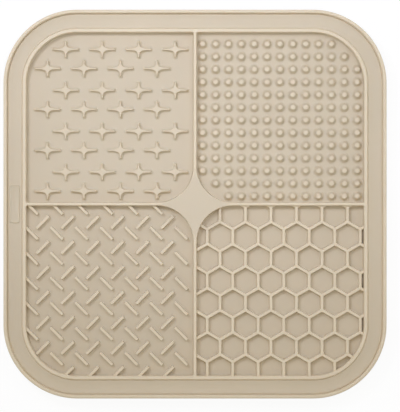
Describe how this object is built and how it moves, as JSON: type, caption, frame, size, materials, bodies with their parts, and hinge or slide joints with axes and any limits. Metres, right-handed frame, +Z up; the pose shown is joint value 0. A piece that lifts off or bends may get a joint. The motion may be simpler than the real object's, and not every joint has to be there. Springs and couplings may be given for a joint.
{
  "type": "lick mat",
  "caption": "Square soft silicone lick mat with star, dot, rib and honeycomb compartments inside a raised rim and a catching gutter, held down by suction cups.",
  "frame": {"origin": "centre of the mat's outline, on the surface that the suction cups stand on", "axes": "+Z up, out of the licked side; +Y to the far side, the top of the picture; +X to the right in the picture"},
  "size_m": [0.2, 0.203, 0.0121],
  "materials": {
    "mat_silicone": "matte",
    "cup_silicone": "satin"
  },
  "bodies": {
    "cups": {"suction_cup_01": "cup_silicone", "suction_cup_02": "cup_silicone", "suction_cup_03": "cup_silicone", "suction_cup_04": "cup_silicone", "suction_cup_05": "cup_silicone", "suction_cup_06": "cup_silicone", "suction_cup_07": "cup_silicone", "suction_cup_08": "cup_silicone", "suction_cup_09": "cup_silicone", "suction_cup_10": "cup_silicone", "suction_cup_11": "cup_silicone", "suction_cup_12": "cup_silicone", "suction_cup_13": "cup_silicone", "suction_cup_14": "cup_silicone", "suction_cup_15": "cup_silicone", "suction_cup_16": "cup_silicone"},
    "mat": {"base_sheet": "mat_silicone", "inner_rim": "mat_silicone", "gutter": "mat_silicone", "outer_lip": "mat_silicone", "centre_hub": "mat_silicone", "divider_left": "mat_silicone", "divider_right": "mat_silicone", "divider_far": "mat_silicone", "divider_near": "mat_silicone", "star_nubs": "mat_silicone", "dot_nubs": "mat_silicone", "rising_ribs": "mat_silicone", "falling_ribs": "mat_silicone", "honeycomb_walls": "mat_silicone", "blank_badge": "mat_silicone"}
  },
  "joints": [
    {"name": "press_down", "type": "slide", "parent": "cups", "child": "mat", "axis": [0, 0, -1], "range_m": [0, 0.0018], "stiffness_N_per_m": 2000, "springref_m": -0.0012, "deforming": ["suction_cup_01", "suction_cup_02", "suction_cup_03", "suction_cup_04", "suction_cup_05", "suction_cup_06", "suction_cup_07", "suction_cup_08", "suction_cup_09", "suction_cup_10", "suction_cup_11", "suction_cup_12", "suction_cup_13", "suction_cup_14", "suction_cup_15", "suction_cup_16"]}
  ]
}
